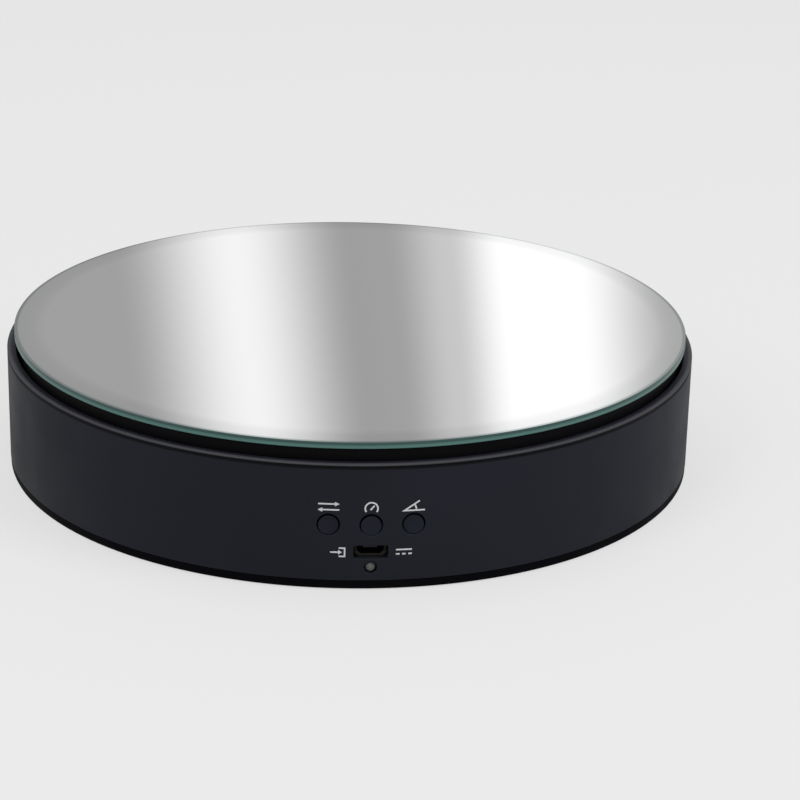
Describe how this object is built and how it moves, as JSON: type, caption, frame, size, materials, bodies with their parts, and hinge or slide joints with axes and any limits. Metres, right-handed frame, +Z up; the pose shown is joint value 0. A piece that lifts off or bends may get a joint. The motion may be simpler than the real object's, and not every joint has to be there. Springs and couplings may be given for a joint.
{
  "type": "turntable display stand",
  "caption": "Low round motor-driven display stand with a mirror platter, a row of push buttons, a USB power socket and a status lamp in its black wall.",
  "frame": {"origin": "centre of the stand on the surface it stands on", "axes": "+Z up along the platter's axis, -Y towards the control panel, +X to the right as the panel is faced"},
  "size_m": [0.195, 0.195, 0.04],
  "materials": {
    "black_shell": "moulded, satin, fine spark texture",
    "black_cover": "moulded, matte",
    "black_platter": "moulded, matte",
    "black_cap": "moulded, semi-gloss",
    "mirror_glass": "polished float glass, silvered behind, green edge",
    "rubber": "matte",
    "white_tape": "matte double-sided tape",
    "white_nylon": "moulded, satin",
    "steel": "ground",
    "black_screw": "black oxide",
    "zinc_plate": "zinc plated sheet",
    "blue_plastic": "moulded",
    "board_green": "solder mask",
    "switch_black": "moulded",
    "lamp_grey": "translucent, unlit",
    "lead_insulation": "insulated leads"
  },
  "bodies": {
    "base": {"housing": "black_shell", "bottom_cover": "black_cover", "foot_1": "rubber", "foot_2": "rubber", "foot_3": "rubber", "foot_4": "rubber", "cover_screw_1": "black_screw", "cover_screw_2": "black_screw", "cover_screw_3": "black_screw", "cover_screw_4": "black_screw", "spindle": "steel", "bearing_inner_ring": "steel", "retaining_washer": "steel", "retaining_screw": "black_screw", "roller_axle_1": "steel", "roller_axle_2": "steel", "roller_axle_3": "steel", "roller_axle_4": "steel", "motor_can": "zinc_plate", "motor_end_plate": "zinc_plate", "motor_wire_cover": "blue_plastic", "motor_screw_1": "black_screw", "motor_screw_2": "black_screw", "control_board": "board_green", "board_screw_1": "black_screw", "board_screw_2": "black_screw", "switch_direction": "switch_black", "switch_speed": "switch_black", "switch_angle": "switch_black", "usb_shell": "steel", "usb_tongue": "switch_black", "status_lamp": "lamp_grey", "motor_driver_chip": "switch_black", "controller_chip": "switch_black", "motor_header": "white_nylon", "motor_plug": "white_nylon", "motor_lead": "lead_insulation"},
    "turntable": {"platter": "black_platter", "ring_gear": "white_nylon", "gear_screw_1": "black_screw", "gear_screw_2": "black_screw", "gear_screw_3": "black_screw", "gear_screw_4": "black_screw", "bearing_outer_ring": "steel", "mirror_tape": "white_tape", "mirror": "mirror_glass"},
    "drive": {"motor_shaft": "steel", "pinion": "white_nylon"},
    "ball_cage": {"bearing_ball_cage": "steel"},
    "roller_1": {"roller_1": "white_nylon"},
    "roller_2": {"roller_2": "white_nylon"},
    "roller_3": {"roller_3": "white_nylon"},
    "roller_4": {"roller_4": "white_nylon"},
    "button_direction": {"button_direction": "black_cap", "plunger_direction": "switch_black"},
    "button_speed": {"button_speed": "black_cap", "plunger_speed": "switch_black"},
    "button_angle": {"button_angle": "black_cap", "plunger_angle": "switch_black"}
  },
  "joints": [
    {"name": "platter_spin", "type": "hinge", "parent": "base", "child": "turntable", "pos_m": [0, 0, 0.03], "axis": [0, 0, 1], "continuous": true},
    {"name": "pinion_spin", "type": "hinge", "parent": "base", "child": "drive", "pos_m": [-0.0325, 0, 0.03], "axis": [0, 0, 1], "continuous": true},
    {"name": "cage_spin", "type": "hinge", "parent": "base", "child": "ball_cage", "pos_m": [0, 0, 0.0307], "axis": [0, 0, 1], "continuous": true},
    {"name": "roller_1_spin", "type": "hinge", "parent": "base", "child": "roller_1", "pos_m": [0.05657, 0.05657, 0.0294], "axis": [0.7071, 0.7071, 0], "continuous": true},
    {"name": "roller_2_spin", "type": "hinge", "parent": "base", "child": "roller_2", "pos_m": [-0.05657, 0.05657, 0.0294], "axis": [-0.7071, 0.7071, 0], "continuous": true},
    {"name": "roller_3_spin", "type": "hinge", "parent": "base", "child": "roller_3", "pos_m": [-0.05657, -0.05657, 0.0294], "axis": [-0.7071, -0.7071, 0], "continuous": true},
    {"name": "roller_4_spin", "type": "hinge", "parent": "base", "child": "roller_4", "pos_m": [0.05657, -0.05657, 0.0294], "axis": [0.7071, -0.7071, 0], "continuous": true},
    {"name": "direction_press", "type": "slide", "parent": "base", "child": "button_direction", "axis": [0, 1, 0], "range_m": [0, 0.0005], "stiffness_N_per_m": 400, "springref_m": -0.001},
    {"name": "speed_press", "type": "slide", "parent": "base", "child": "button_speed", "axis": [0, 1, 0], "range_m": [0, 0.0005], "stiffness_N_per_m": 400, "springref_m": -0.001},
    {"name": "angle_press", "type": "slide", "parent": "base", "child": "button_angle", "axis": [0, 1, 0], "range_m": [0, 0.0005], "stiffness_N_per_m": 400, "springref_m": -0.001}
  ],
  "couplings": [
    {"joint": "pinion_spin", "follows": "platter_spin", "ratio": 5.3333},
    {"joint": "cage_spin", "follows": "platter_spin", "ratio": 0.62667},
    {"joint": "roller_1_spin", "follows": "platter_spin", "ratio": -20},
    {"joint": "roller_2_spin", "follows": "platter_spin", "ratio": -20},
    {"joint": "roller_3_spin", "follows": "platter_spin", "ratio": -20},
    {"joint": "roller_4_spin", "follows": "platter_spin", "ratio": -20}
  ]
}
